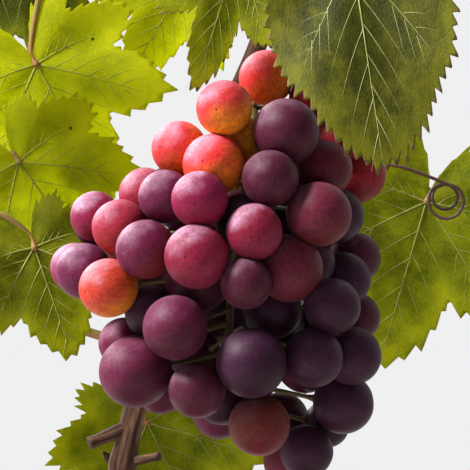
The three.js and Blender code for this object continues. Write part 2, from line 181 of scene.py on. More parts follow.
rim_foot = POT_HEIGHT - RIM_HEIGHT
bm = bmesh.new()
turn_profile(bm, [
    (0.0, 0.0), (POT_BASE_RADIUS, 0.0), (pot_radius(rim_foot), rim_foot),
    (pot_radius(rim_foot) + RIM_STAND_OUT, rim_foot), (RIM_RADIUS, POT_HEIGHT),
    (pot_radius(POT_HEIGHT) - POT_WALL, POT_HEIGHT), (pot_radius(POT_FLOOR) - POT_WALL, POT_FLOOR),
    (0.0, POT_FLOOR),
], POT_TURN_STEPS)
soften_turned_edges(bm, RIM_ROUNDING, 4)
holes = bmesh.new()
for i in range(DRAIN_HOLES):
    turn = i * 2 * math.pi / DRAIN_HOLES
    spot = (DRAIN_HOLE_CIRCLE * math.cos(turn), DRAIN_HOLE_CIRCLE * math.sin(turn), POT_FLOOR / 2)
    bmesh.ops.create_cone(holes, cap_ends=True, segments=28, radius1=DRAIN_HOLE_RADIUS,
                          radius2=DRAIN_HOLE_RADIUS, depth=3 * POT_FLOOR, matrix=Matrix.Translation(spot))
pot_mesh, hole_mesh = bpy.data.meshes.new("pot wall"), bpy.data.meshes.new("drain holes")
bm.to_mesh(pot_mesh)
holes.to_mesh(hole_mesh)
holes.free()
bm.free()
pot_blank = bpy.data.objects.new("pot_blank", pot_mesh)
hole_blank = bpy.data.objects.new("hole_blank", hole_mesh)
for blank in (pot_blank, hole_blank):
    bpy.context.scene.collection.objects.link(blank)
drill = pot_blank.modifiers.new("drill", "BOOLEAN")
drill.object = hole_blank
drill.operation = "DIFFERENCE"
drill.solver = "EXACT"
drilled = bmesh.new()
drilled.from_mesh(pot_blank.evaluated_get(bpy.context.evaluated_depsgraph_get()).to_mesh())
for blank in (pot_blank, hole_blank):
    bpy.data.objects.remove(blank)
pot_piece = place_piece(drilled, "terracotta_pot", [fired_terracotta()], "terracotta", "pot")
pot_piece.data.set_sharp_from_angle(angle=math.radians(50))

# ---- Soil ----
# Peaty potting soil, filled to just under the rim, with loose crumbs and a few white grains
# of expanded rock. A round hole in it takes the root end of the cane.
soil_low, soil_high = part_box("soil")
SOIL_TOP = soil_high.z
SOIL_EDGE_DROP = 0.004
CANE_HOLE_RADIUS = 0.0094
ROOT_DEPTH = 0.0603
SOIL_MOUNDS = ((60, 0.3, 0.0014), (210, 1.7, 0.0011))  # to a metre, a seed, and their height
SOIL_RINGS = 44
WALL_CLEARANCE = 0.0006
PEAT_LUMP = 0.00455
GRAIN_PORE = 0.00111
CRUMBS = 420
WHITE_GRAINS = 46
CRUMB_SIZE = (0.0008, 0.0030)


def potting_soil():
    """Damp peat: nearly black brown, crumbly, without shine."""
    material, tree, out = new_material("damp potting soil")
    place = add(tree, "TexCoord").outputs["Object"]
    lumps = add(tree, "TexNoise", {"Vector": place, "Scale": 1 / PEAT_LUMP, "Detail": 7.0,
                                    "Roughness": 0.75})
    colour = add(tree, "ValToRGB", {"Fac": lumps.outputs["Fac"]},
                 [(0.3, "#1B120C"), (0.52, "#35261B"), (0.75, "#5A4430")])
    bump = add(tree, "Bump", {"Height": lumps.outputs["Fac"], "Strength": 1.0, "Distance": 0.0022})
    shader = add(tree, "BsdfPrincipled", {"Base Color": colour.outputs[0], "Roughness": 0.95,
                                          "Normal": bump.outputs[0], "Specular IOR Level": 0.2})
    tree.links.new(shader.outputs[0], out.inputs["Surface"])
    return material


def white_grain():
    """Expanded rock grains: dusty white with fine pores."""
    material, tree, out = new_material("expanded rock grain")
    place = add(tree, "TexCoord").outputs["Object"]
    pores = add(tree, "TexNoise", {"Vector": place, "Scale": 1 / GRAIN_PORE, "Detail": 2.0})
    colour = add(tree, "ValToRGB", {"Fac": pores.outputs["Fac"]}, [(0.35, "#A59C8C"), (0.6, "#E4DFD4")])
    shader = add(tree, "BsdfPrincipled", {"Base Color": colour.outputs[0], "Roughness": 0.9})
    tree.links.new(shader.outputs[0], out.inputs["Surface"])
    return material


def soil_height(x, y):
    """Height of the soil's uneven top."""
    out = math.hypot(x, y) / soil_high.x
    lump = sum(noise.noise(Vector((x, y, seed)) * often) * high for often, seed, high in SOIL_MOUNDS)
    return SOIL_TOP - 0.0012 - SOIL_EDGE_DROP * max(0.0, out - 0.55) / 0.45 + lump


bm = bmesh.new()
soil_edge = pot_radius(SOIL_TOP) - POT_WALL - WALL_CLEARANCE
top_rings = [CANE_HOLE_RADIUS + (soil_edge - CANE_HOLE_RADIUS) * i / SOIL_RINGS
             for i in range(SOIL_RINGS + 1)]
turn_profile(bm, [
    (0.0, soil_low.z), (pot_radius(soil_low.z) - POT_WALL - WALL_CLEARANCE, soil_low.z),
    *[(radius, SOIL_TOP) for radius in reversed(top_rings)],
    (CANE_HOLE_RADIUS, SOIL_TOP - ROOT_DEPTH), (0.0, SOIL_TOP - ROOT_DEPTH),
], 3 * SOIL_RINGS)
for vert in bm.verts:
    if vert.co.z > SOIL_TOP - 1e-5:
        vert.co.z = soil_height(vert.co.x, vert.co.y)
scatter = random.Random(11)
for i in range(CRUMBS + WHITE_GRAINS):
    away = math.sqrt(scatter.uniform(0.012, 0.93)) * soil_edge
    turn = scatter.uniform(0, 2 * math.pi)
    size = scatter.uniform(*CRUMB_SIZE)
    x, y = away * math.cos(turn), away * math.sin(turn)
    grain = bmesh.ops.create_icosphere(bm, subdivisions=1, radius=size, matrix=Matrix.Translation(
        (x, y, min(soil_height(x, y) + 0.3 * size, SOIL_TOP + 0.001))))["verts"]
    for vert in grain:
        vert.co += noise.noise_vector(vert.co * 400) * size * 0.5
    for face in {f for vert in grain for f in vert.link_faces}:
        face.material_index = 1 if i >= CRUMBS else 0
place_piece(bm, "potting_soil_fill", [potting_soil(), white_grain()], "potting_soil", "soil")

# ---- Cane ----
# Last year's woody cane: brown bark that splits into long grey-brown shreds, swollen joints
# with buds, and cut spurs. It grows out of the root end in the soil.
CANE_RADIUS = 0.009
CANE_TIP_RADIUS = 0.0022
CANE_TAPER = 0.6
CANE_ROUTE = [
    (0, 0, -60), (0, 0, -30), (0, 0, 4), (-3, -1, 50), (-10, -2, 110), (-16, 2, 175),
    (-13, 6, 225), (-7, 8, 258), (3, 9, 290), (14, 9, 322), (24, 9, 353), (33, 9, 384),
    (43, 8, 408), (52, 6, 440), (60, 2, 500), (75, 0, 560), (90, 5, 620), (98, 10, 668),
]
CANE_JOINTS = [0.12, 0.2, 0.3, 0.405, 0.462, 0.535, 0.608, 0.69, 0.77, 0.81, 0.88, 0.94]
SPURS = ((0.425, (-24, 2, 248), 0.0024), (0.405, (4, 0, 243), 0.0016), (0.3, (-30, 6, 176), 0.0026))
SEAT_GAP = 0.0003
BARK_FIBRE = (0.00111, 0.0143)  # across, along
BARK_SHRED = (0.00303, 0.0455)


def lengthwise(tree, unrolled, size):
    """Stretches a pattern along its stem: its size across, and its size along."""
    across, along = size
    return add(tree, "Mapping", {"Vector": unrolled,
                                 "Scale": (1 / across, 1 / across, 1 / along)}).outputs[0]


def up_from_soil(place):
    """A place in millimetres, its height measured from the top of the soil, as metres in the frame."""
    return Vector((place[0] / 1000, place[1] / 1000, place[2] / 1000 + SOIL_TOP))


class Stem:
    """A smooth bent stem that thins from its start to its end."""

    def __init__(self, points, start_radius, end_radius, taper=1.0, pieces=40):
        self.radii = (start_radius, end_radius, taper)
        ends = [2 * points[0] - points[1], *points, 2 * points[-1] - points[-2]]
        self.line = []
        for before, start, end, after in zip(ends, ends[1:], ends[2:], ends[3:]):
            steps = [max((b - a).length, 1e-7) ** 0.5
                     for a, b in ((before, start), (start, end), (end, after))]
            leave = ((start - before) / steps[0] - (end - before) / (steps[0] + steps[1])
                     + (end - start) / steps[1]) * steps[1]
            reach = ((end - start) / steps[1] - (after - start) / (steps[1] + steps[2])
                     + (after - end) / steps[2]) * steps[1]
            for i in range(pieces):
                t = i / pieces
                self.line.append((2 * t ** 3 - 3 * t ** 2 + 1) * start + (t ** 3 - 2 * t ** 2 + t) * leave
                                 + (3 * t ** 2 - 2 * t ** 3) * end + (t ** 3 - t ** 2) * reach)
        self.line.append(points[-1].copy())
        self.far = [0.0]
        for a, b in zip(self.line, self.line[1:]):
            self.far.append(self.far[-1] + (b - a).length)
        self.length = self.far[-1]

    def at(self, share):
        """The centre of the stem at a share of its length."""
        target = min(max(share, 0.0), 1.0) * self.length
        low, high = 0, len(self.far) - 1
        while high - low > 1:
            middle = (low + high) // 2
            if self.far[middle] > target:
                high = middle
            else:
                low = middle
        part = (target - self.far[low]) / max(self.far[high] - self.far[low], 1e-12)
        return self.line[low].lerp(self.line[high], part)

    def heading(self, share):
        """The way the stem runs there."""
        return (self.at(min(share + 1e-3, 1.0)) - self.at(max(share - 1e-3, 0.0))).normalized()

    def radius(self, share):
        start, end, taper = self.radii
        return start + (end - start) * share ** taper


def bud_on(stem, share, target):
    """The seat of a side stem on a stem's skin, and the way it stands out."""
    centre, along = stem.at(share), stem.heading(share)
    out = target - centre
    out = (out - along * out.dot(along)).normalized()
    return centre + out * (stem.radius(share) + SEAT_GAP), out


def stem_from(parent, share, points, start_radius, end_radius):
    """A stem that stands on another one's skin and then follows its own points."""
    seat, out = bud_on(parent, share, points[0])
    return Stem([seat, seat + out * 2.5 * start_radius, *points], start_radius, end_radius)


def sweep(bm, stem, sides, rings, shape=None, material_index=0):
    """Draws a ring of edges out along a stem. Each vertex keeps its place on the unrolled stem."""
    tube = bmesh.new()
    unrolled = tube.verts.layers.float_vector.new("on_stem")
    ring = bmesh.ops.create_circle(tube, cap_ends=True, segments=sides, radius=1.0)["verts"]
    for vert in ring:
        vert[unrolled] = vert.co.copy()
    edges = tube.edges[:]
    forward = stem.heading(0.0)
    side = forward.orthogonal().normalized()
    for i in range(rings + 1):
        share = i / rings
        if i:
            drawn = bmesh.ops.extrude_edge_only(tube, edges=edges)["geom"]
            ring = [g for g in drawn if isinstance(g, bmesh.types.BMVert)]
            edges = [g for g in drawn if isinstance(g, bmesh.types.BMEdge)]
        forward = stem.heading(share)
        side = (side - forward * side.dot(forward)).normalized()
        over = forward.cross(side)
        for vert in ring:
            turn = Vector((vert[unrolled].x, vert[unrolled].y)).normalized()
            radius = stem.radius(share) * (shape(share, turn) if shape else 1.0)
            vert.co = stem.at(share) + (side * turn.x + over * turn.y) * radius
            vert[unrolled] = Vector((turn.x * stem.radius(share), turn.y * stem.radius(share),
                                     share * stem.length))
    bmesh.ops.contextual_create(tube, geom=edges)
    bmesh.ops.recalc_face_normals(tube, faces=tube.faces[:])
    for face in tube.faces:
        face.material_index = material_index
    drawn_out = bpy.data.meshes.new("stem")
    tube.to_mesh(drawn_out)
    tube.free()
    bm.from_mesh(drawn_out)
    bpy.data.meshes.remove(drawn_out)


def add_bud(bm, stem, share, target, size, material_index=0):
    """A pointed bud of overlapping scales, seated on a joint and leaning up the stem."""
    seat, out = bud_on(stem, share, target)
    lean = (out + stem.heading(share) * 0.9).normalized()
    base = seat + lean * size * 0.5
    turned = Matrix.Translation(base) @ lean.to_track_quat("Z", "Y").to_matrix().to_4x4()
    bud = bmesh.ops.create_icosphere(bm, subdivisions=3, radius=size, matrix=turned)["verts"]
    for vert in bud:
        up = (vert.co - base).dot(lean) / size
        around = vert.co - base - lean * up * size
        narrow = 0.62 * (1.0 - 0.55 * max(0.0, up)) * (1 + 0.06 * math.sin(9 * up))
        vert.co = base + lean * up * size * 1.25 + around * narrow
    for face in {f for vert in bud for f in vert.link_faces}:
        face.material_index = material_index


def shredded_bark(name, deep, middle, worn, lit):
    """Vine bark: dry brown fibre that runs along the cane, split into shreds and worn pale on top."""
    material, tree, out = new_material(name)
    unrolled = add(tree, "Attribute", attribute_name="on_stem").outputs["Vector"]
    fibre = add(tree, "TexNoise", {"Vector": lengthwise(tree, unrolled, BARK_FIBRE), "Scale": 1.0,
                                   "Detail": 5.0, "Roughness": 0.65})
    shreds = add(tree, "TexNoise", {"Vector": lengthwise(tree, unrolled, BARK_SHRED), "Scale": 1.0,
                                    "Detail": 3.0, "Distortion": 0.4})
    tone = add(tree, "Mix", {0: 0.55, 2: fibre.outputs["Fac"], 3: shreds.outputs["Fac"]})
    colour = add(tree, "ValToRGB", {"Fac": tone.outputs[0]},
                 [(0.34, deep), (0.46, middle), (0.56, worn), (0.66, lit)])
    bump = add(tree, "Bump", {"Height": tone.outputs[0], "Strength": 0.9, "Distance": 0.0009})
    rough = add(tree, "MapRange", {"Value": fibre.outputs["Fac"], "To Min": 0.65, "To Max": 0.95})
    shader = add(tree, "BsdfPrincipled", {"Base Color": colour.outputs[0], "Roughness": rough.outputs[0],
                                          "Normal": bump.outputs[0], "Specular IOR Level": 0.3})
    tree.links.new(shader.outputs[0], out.inputs["Surface"])
    return material


def cane_shape(share, turn):
    """Swollen joints, flattened sides and ridges of bark, as a share of the cane's radius."""
    swell = sum(0.22 * math.exp(-((share - joint) / 0.006) ** 2) for joint in CANE_JOINTS)
    ridge = noise.noise(Vector((turn.x * 3.1, turn.y * 3.1, share * 26)))
    fine = noise.noise(Vector((turn.x * 7.5, turn.y * 7.5, share * 60)))
    return 0.985 + swell + 0.07 * ridge + 0.035 * fine


cane = Stem([up_from_soil(p) for p in CANE_ROUTE], CANE_RADIUS, CANE_TIP_RADIUS, CANE_TAPER)
bm = bmesh.new()
sweep(bm, cane, 26, 420, cane_shape)
for share, end, radius in SPURS:
    seat, cut_end = cane.at(share), up_from_soil(end)
    spur = Stem([seat, seat.lerp(cut_end, 0.6), cut_end], 1.35 * radius, radius)
    sweep(bm, spur, 14, 22, lambda s, turn: 1.0
          + 0.16 * noise.noise(Vector((turn.x * 2, turn.y * 2, s * 5)))
          + 0.14 * math.exp(-((s - 0.96) / 0.05) ** 2))
for i, share in enumerate(CANE_JOINTS):
    sideways = cane.at(share) + Vector((math.cos(2.4 * i + 2.2), math.sin(2.4 * i + 2.2), 0.2))
    add_bud(bm, cane, share, sideways, 0.0034 - 0.0014 * share)
BARK = shredded_bark("shredded vine bark", "#1C0F0A", "#3E281E", "#6A4C3C", "#A8866C")
place_piece(bm, "woody_cane", [BARK], "bark", "trunk")

# ---- Shoots ----
# This year's side shoots: smooth young wood, green turning to reddish brown, with a joint and
# a bud at each leaf stalk. Each stands on the cane's skin.
SHOOTS = {  # share of the cane where it stands, its way, its radius at each end
    "shoot_right": (0.697, [(72, -3, 462), (96, -12, 482), (128, -15, 505), (168, -10, 535),
                            (205, 0, 572), (232, 6, 618)], 0.0026, 0.0014),
    "shoot_left_high": (0.715, [(26, 18, 480), (-14, 26, 488), (-64, 28, 492), (-112, 24, 508),
                                (-150, 18, 540), (-176, 14, 584)], 0.0024, 0.0013),
    "shoot_left_low": (0.46, [(-12, 22, 288), (-34, 28, 296), (-78, 30, 318), (-118, 26, 354),
                              (-146, 20, 402), (-160, 16, 450)], 0.0021, 0.0011),
}
SHOOT_JOINTS = {"shoot_right": [0.13, 0.3, 0.47, 0.62, 0.74, 0.87, 0.96],
                "shoot_left_high": [0.17, 0.36, 0.5, 0.66, 0.81, 0.95],
                "shoot_left_low": [0.2, 0.33, 0.445, 0.62, 0.78, 0.93]}
SHOOT_BUD = 0.0019
WOOD_LINE = (0.00077, 0.025)  # across, along
WOOD_PATCH = (0.00625, 0.0417)


def young_wood(name, green, turning, ripe):
    """Young vine wood: waxy skin with fine lengthwise lines, green that ripens to reddish brown."""
    material, tree, out = new_material(name)
    unrolled = add(tree, "Attribute", attribute_name="on_stem").outputs["Vector"]
    lines = add(tree, "TexNoise", {"Vector": lengthwise(tree, unrolled, WOOD_LINE), "Scale": 1.0,
                                   "Detail": 3.0})
    patches = add(tree, "TexNoise", {"Vector": lengthwise(tree, unrolled, WOOD_PATCH), "Scale": 1.0,
                                     "Detail": 3.0})
    tone = add(tree, "Mix", {0: 0.65, 2: lines.outputs["Fac"], 3: patches.outputs["Fac"]})
    colour = add(tree, "ValToRGB", {"Fac": tone.outputs[0]}, [(0.36, green), (0.5, turning), (0.64, ripe)])
    bump = add(tree, "Bump", {"Height": lines.outputs["Fac"], "Strength": 0.5, "Distance": 0.0003})
    rough = add(tree, "MapRange", {"Value": lines.outputs["Fac"], "To Min": 0.42, "To Max": 0.65})
    shader = add(tree, "BsdfPrincipled", {"Base Color": colour.outputs[0], "Roughness": rough.outputs[0],
                                          "Normal": bump.outputs[0]})
    tree.links.new(shader.outputs[0], out.inputs["Surface"])
    return material


SHOOT_WOOD = young_wood("ripening shoot wood", "#7C7A34", "#8A6238", "#6E3F2A")
stems = {"trunk": cane}
for name, (share, points, start_radius, end_radius) in SHOOTS.items():
    shoot = stem_from(cane, share, [up_from_soil(p) for p in points], start_radius, end_radius)
    stems[name] = shoot
    joints = SHOOT_JOINTS[name]
    bm = bmesh.new()
    sweep(bm, shoot, 16, 190, lambda s, turn: 0.98
          + 0.03 * noise.noise(Vector((turn.x * 2, turn.y * 2, s * 40)))
          + sum(0.3 * math.exp(-((s - joint) / 0.008) ** 2) for joint in joints)
          + 0.25 * math.exp(-(s / 0.012) ** 2))
    for i, share in enumerate(joints):
        beside = shoot.at(share) + Vector((0.3, math.cos(math.pi * i), 0.8))
        add_bud(bm, shoot, share, beside, SHOOT_BUD)
    place_piece(bm, name + "_wood", [SHOOT_WOOD], "green_wood", name)

# ---- Tendril ----
# A wiry tendril that leaves a joint of the cane and ends in a loose coil.
TENDRIL_ROUTE = [(62, 8, 386), (78, 6, 372), (92, 3, 361), (103, 1, 358), (118, 0, 352)]
TENDRIL_RADIUS = (0.0008, 0.0006)
CURL_RADIUS = 8
CURL_TURNS = 2
CURL_PITCH = 0.7

curl = []
for i in range(1, CURL_TURNS * 8 + 1):
    angle = i * math.pi / 4
    radius = CURL_RADIUS * (1 - i / (CURL_TURNS * 16))
    x, y, z = TENDRIL_ROUTE[-1]
    curl.append((x + radius * math.sin(angle), y + CURL_PITCH * i, z + radius * (math.cos(angle) - 1)))
tendril = stem_from(cane, 0.625, [up_from_soil(p) for p in TENDRIL_ROUTE + curl], *TENDRIL_RADIUS)
bm = bmesh.new()
sweep(bm, tendril, 10, 260)
TENDRIL_SKIN = young_wood("drying tendril", "#5A4A2C", "#4A2A24", "#38201E")
place_piece(bm, "curled_tendril", [TENDRIL_SKIN], "green_wood", "tendril_right")

# ---- Grapes: sizes and places ----
# Each grape is given across and up from the bunch's centre, then its diameter, then its skin; the
# dark skins low on the right are partly painted shade. The nearest come first, and each sits as
# far forward as those before it let it.
NEAR_GRAPES = [
    (-12, 1, 24, "crimson"), (9, 10, 21, "crimson"), (6, -9, 19, "plum"), (-12, -7, 24, "plum"),
    (-20, -25, 24, "mauve"), (-35, -41, 27, "mauve"), (-45, -10, 22, "amber"), (-31, 4, 22, "dusky"),
    (-41, 13, 21, "blush"), (-11, 22, 21, "magenta"), (-24, 24, 20, "violet"), (-6, 36, 23, "flame"),
    (15, 30, 21, "plum"), (21, 48, 25, "plum"), (-2, 57, 21, "sunset"), (14, 71, 21, "rose"),
    (22, -3, 25, "russet"), (33, 17, 24, "russet"), (8, -38, 26, "night"), (-12, -48, 21, "plum"),
    (31, -36, 22, "night"), (38, -17, 21, "night"), (11, -61, 23, "copper"), (43, -53, 23, "night"),
    (30, 0, 19, "night"), (43, -6, 21, "night"), (46, -35, 22, "night"), (29, -71, 20, "night"),
    (35, 35, 22, "russet"), (44, 49, 19, "wine"), (49, 35, 22, "wine"), (-19, 43, 21, "sunset"),
    (-32, 26, 20, "blush"), (-51, 18, 19, "magenta"), (-55, -3, 21, "violet"), (5, 15, 21, "night"),
    (-2, -16, 20, "night"), (16, -18, 22, "night"), (-29, -19, 20, "night"), (-3, -51, 20, "night"),
    (-26, -48, 18, "mauve"), (-40, -30, 19, "dusky"), (48, 3, 20, "plum"), (48, -20, 19, "plum"),
    (40, 18, 21, "night"), (-4, -56, 21, "mauve"), (23, -75, 20, "russet"), (37, -61, 18, "night"),
    (-23, 28, 20, "night"), (-33, 29, 19, "blush"), (-51, 16, 18, "plum"), (-59, -1, 19, "magenta"),
    (32, 63, 19, "wine"), (35, 48, 17, "amber"), (5, 46, 18, "gold"), (25, 28, 17, "night"),
]
# The far side, dropped towards the front until each grape rests on what is there.
FAR_GRAPES = [
    (27, 55, 20, "rose"), (-3, 40, 24, "sunset"), (18, 36, 23, "dusky"), (37, 40, 20, "wine"),
    (-20, 26, 22, "violet"), (0, 22, 24, "plum"), (22, 18, 23, "night"), (38, 20, 20, "magenta"),
    (-38, 10, 22, "magenta"), (-18, 6, 24, "mauve"), (4, 1, 24, "plum"), (26, -2, 23, "night"),
    (42, 2, 20, "plum"), (-44, -9, 20, "flame"), (-27, -13, 24, "mauve"), (-5, -18, 24, "dusky"),
    (17, -21, 24, "night"), (37, -18, 22, "plum"), (-33, -31, 20, "dusky"), (-14, -36, 23, "plum"),
    (8, -41, 23, "night"), (29, -38, 22, "mauve"), (0, -56, 20, "magenta"), (20, -59, 21, "plum"),
]
BUNCH_CENTRE = (32, -62, 317)
BUNCH_HALF = (56, 42, 72)
SQUEEZE = 1.6
GRAPES_PER_SPRIG = 5
SPRIG_HOLD = 0.6
FAR_BULGE = 0.55
PEDUNCLE_SHARE = 0.24
STALK_RADIUS = 1.9
STALK_ROOM = 0.8
STALK_STEPS = 20

arch = [(38, -16, 386), (41, -36, 380), (40, -52, 364)]
hanging = [(5, 2, 21), (1, 2, -5), (0, 2, -33), (4, 2, -61)]
stalk_route = arch + [tuple(c + d for c, d in zip(BUNCH_CENTRE, offset)) for offset in hanging]
stalk = stem_from(cane, 0.605, [up_from_soil(p) for p in stalk_route],
                  STALK_RADIUS * 1.2 / 1000, STALK_RADIUS * 0.7 / 1000)


class Grape:
    """One grape: its place in millimetres, its radius, and the name of its skin."""

    def __init__(self, place, radius, skin=None):
        self.place, self.radius, self.skin = place, radius, skin


def settle(rows, settled, toward, behind_all):
    """Pushes each grape back until it clears every one settled before it."""
    made = []
    for across, up, size, skin in rows:
        bulge = max(0.0, 1 - (across / BUNCH_HALF[0]) ** 2 - (up / BUNCH_HALF[2]) ** 2)
        place = Vector(BUNCH_CENTRE) + Vector((across, toward * BUNCH_HALF[1] * math.sqrt(bulge), up))
        radius = size / 2
        blocked = True
        while blocked:
            blocked = False
            for other in settled:
                aside = math.hypot(place.x - other.place.x, place.z - other.place.z)
                reach = radius + other.radius - SQUEEZE
                stand = math.sqrt(max(0.0, reach ** 2 - aside ** 2))
                between = place.y - other.place.y
                in_front = behind_all and other.skin and between < 0 and aside < 0.7 * reach
                if in_front or abs(between) < stand - 1e-3:
                    place.y = other.place.y + stand
                    blocked = True
        grape = Grape(place, radius, skin)
        settled.append(grape)
        made.append(grape)
    return made


def gather_sprigs(free):
    """Touching grapes of one side stem, the tightest contacts first."""
    free, sprigs = list(free), []
    while free:
        sprig = [free.pop(0)]
        while len(sprig) < GRAPES_PER_SPRIG and free:
            hold, _, following = max(
                (max(a.radius + b.radius - (a.place - b.place).length for a in sprig), -i, b)
                for i, b in enumerate(free))
            if hold <= SPRIG_HOLD * SQUEEZE:
                break
            free.remove(following)
            sprig.append(following)
        sprigs.append(sprig)
    return sprigs


settled = []
for i in range(STALK_STEPS):
    spot = stalk.at(PEDUNCLE_SHARE + (1 - PEDUNCLE_SHARE) * i / (STALK_STEPS - 1))
    settled.append(Grape(Vector((spot.x * 1000, spot.y * 1000, (spot.z - SOIL_TOP) * 1000)),
                         STALK_RADIUS + STALK_ROOM + SQUEEZE))
grapes = settle(NEAR_GRAPES, settled, -1.0, True) + settle(FAR_GRAPES, settled, FAR_BULGE, False)
for grape in grapes:
    grape.centre = up_from_soil(grape.place)
    grape.size = grape.radius / 1000
sprigs = gather_sprigs(grapes)

# ---- Bunch stalk ----
# The green stalk that arches over from the cane and hangs down the middle of the bunch, with
# warty side joints and a thin pedicel to each grape it can reach, swollen where the grape sits.
PEDICEL_RADIUS = 0.0009
PEDICEL_RISE = 0.008
KNOB_RADIUS = 0.0017


def pedicel_start(grape):
    """The spot on the stalk that the grape hangs from."""
    spots = [stalk.at(PEDUNCLE_SHARE + i / 100) for i in range(77)]
    return min(spots, key=lambda s: (s - grape.centre).length + abs(s.z - grape.centre.z - PEDICEL_RISE))


def clear_way(grape, start, way, length):
    """True if a straight pedicel to the grape passes every other grape."""
    for other in grapes:
        if other is not grape:
            along = min(max((other.centre - start).dot(way), 0.0), length)
            if (start + way * along - other.centre).length <= other.size + PEDICEL_RADIUS + SEAT_GAP:
                return False
    return length > 2.0 * STALK_RADIUS / 1000


bm = bmesh.new()
sweep(bm, stalk, 16, 200, lambda s, turn: 1.0 + 0.1 * noise.noise(Vector((turn.x * 2, turn.y * 2, s * 30)))
      + 0.5 * math.exp(-(s / 0.02) ** 2) + 0.3 * math.exp(-((s - PEDUNCLE_SHARE) / 0.015) ** 2))
for grape in grapes:
    start = pedicel_start(grape)
    way = grape.centre - start
    length = way.length - grape.size + 0.0004
    way.normalize()
    grape.hangs_from = -way
    if clear_way(grape, start, way, length):
        sag = way.orthogonal().normalized() * 0.0006
        pedicel = Stem([start, start + way * length * 0.5 + sag, start + way * length],
                       PEDICEL_RADIUS * 1.1, PEDICEL_RADIUS * 0.9)
        reach = max(length, 1e-3)
        sweep(bm, pedicel, 9, 22, lambda s, turn: 1.0 + (KNOB_RADIUS / PEDICEL_RADIUS - 1.0)
              * (math.exp(-((1 - s) * reach / 0.0018) ** 2) + 0.5 * math.exp(-(s * reach / 0.0015) ** 2))
              + 0.12 * noise.noise(Vector((turn.x * 3, turn.y * 3, s * 9))))
STALK_SKIN = young_wood("green bunch stalk", "#50521E", "#5C4A24", "#402A18")
place_piece(bm, "bunch_stalk", [STALK_SKIN], "green_wood", "rachis")

# ---- Grapes ----
# Round table grapes at every stage of ripening: thin tense skin under a matt wax bloom that
# scatters light to lilac, dark purple where ripe and red where not yet. Light is painted into
# each grape: a lilac painted highlight of bloom on the side towards the sun, painted shade on the
# far side, and on unripe grapes a painted amber glow of light shining through there.
SKINS_LIT_AND_SHADED = {  # sunny colour, painted shade colour (on unripe grapes a painted amber glow), share of wax bloom and painted highlight
    "night": ("#36182E", "#2C1222", 0.06), "plum": ("#4A162A", "#421624", 0.22),
    "violet": ("#60183E", "#5A1234", 0.56), "mauve": ("#5E1C3A", "#461428", 0.18),
    "dusky": ("#601236", "#601616", 0.42), "russet": ("#601E30", "#541A1E", 0.10),
    "wine": ("#861C26", "#6C1418", 0.16), "magenta": ("#7C0C3A", "#780428", 0.82),
    "crimson": ("#7C0E2E", "#6C142C", 0.82), "rose": ("#D83430", "#DC7418", 0.50),
    "blush": ("#94243A", "#90241E", 0.46), "sunset": ("#C43230", "#E0820E", 0.66),
    "flame": ("#E03434", "#E87A18", 0.72), "amber": ("#B83A24", "#CC7A1C", 0.62),
    "gold": ("#B87010", "#C87A0C", 0.16), "copper": ("#622820", "#5C1C22", 0.14),
}
SUN_SIDE = Vector((-0.55, -0.35, 0.76)).normalized()
SKIN_GRAIN = 0.0012
WAX_RUB = 0.0077
SKIN_SCAR = 0.055
TOUCH_GAP = 0.15
LONGEST = 1.035
SCAR_DENT = 0.012
STALK_DENT = 0.02
WAX_EVERYWHERE = 0.03
# Painted highlight: the extra wax on the side towards the sun stands in for a lilac highlight.
SUNNY_HIGHLIGHT_WAX = 0.9


